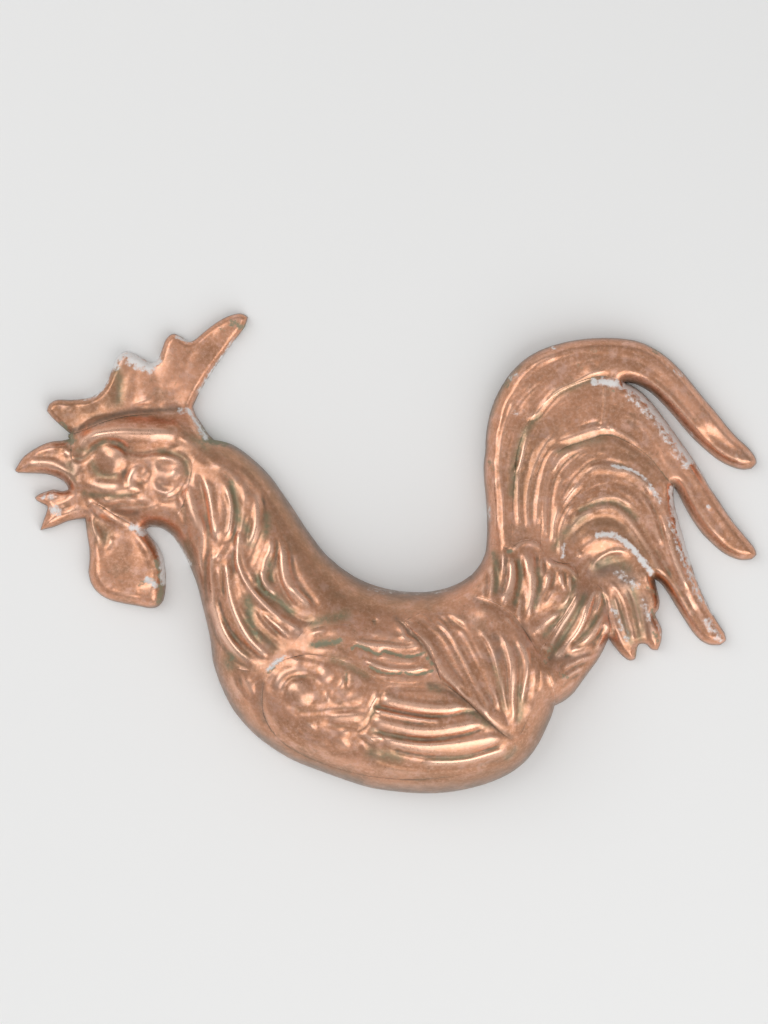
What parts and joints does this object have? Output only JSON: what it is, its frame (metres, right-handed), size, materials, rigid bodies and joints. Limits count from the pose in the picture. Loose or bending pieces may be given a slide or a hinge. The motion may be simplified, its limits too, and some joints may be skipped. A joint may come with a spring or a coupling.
{
  "type": "copper mould",
  "caption": "Cockerel mould of raised sheet copper sections soldered edge to edge, hollow behind, lying on its open rim with the relief up",
  "frame": {"origin": "on the rim plane, at the middle of the plan", "axes": "+X runs from the beak to the tail, +Y from the breast to the comb, +Z out of the relief"},
  "size_m": [0.3707, 0.2399, 0.0425],
  "materials": {
    "rubbed_copper": "copper rubbed bright on the raised places, brown in the hollows",
    "dull_copper": "copper with an even brown patina and some verdigris",
    "old_solder": "dull grey old solder"
  },
  "bodies": {
    "root": {"comb": "dull_copper", "upper_beak": "rubbed_copper", "lower_beak": "dull_copper", "face": "rubbed_copper", "wattle": "dull_copper", "neck": "rubbed_copper", "back": "dull_copper", "breast_and_belly": "rubbed_copper", "scapular": "rubbed_copper", "wing": "rubbed_copper", "saddle": "rubbed_copper", "tail_coverts": "rubbed_copper", "tail_fluff": "rubbed_copper", "tail_plume": "dull_copper", "outer_sickle": "rubbed_copper", "middle_sickle": "rubbed_copper", "inner_sickle": "rubbed_copper", "neck_solder": "old_solder", "back_solder": "old_solder", "saddle_front_solder": "old_solder", "saddle_rear_solder": "old_solder", "wing_top_solder": "old_solder", "wing_lower_solder": "old_solder", "coverts_rear_solder": "old_solder", "tail_root_solder": "old_solder", "fluff_root_solder": "old_solder", "plume_root_solder": "old_solder", "plume_top_solder": "old_solder", "outer_valley_solder": "old_solder", "inner_valley_solder": "old_solder", "face_solder": "old_solder", "comb_solder": "old_solder", "wattle_solder": "old_solder", "upper_beak_solder": "old_solder", "lower_beak_solder": "old_solder"}
  },
  "joints": []
}
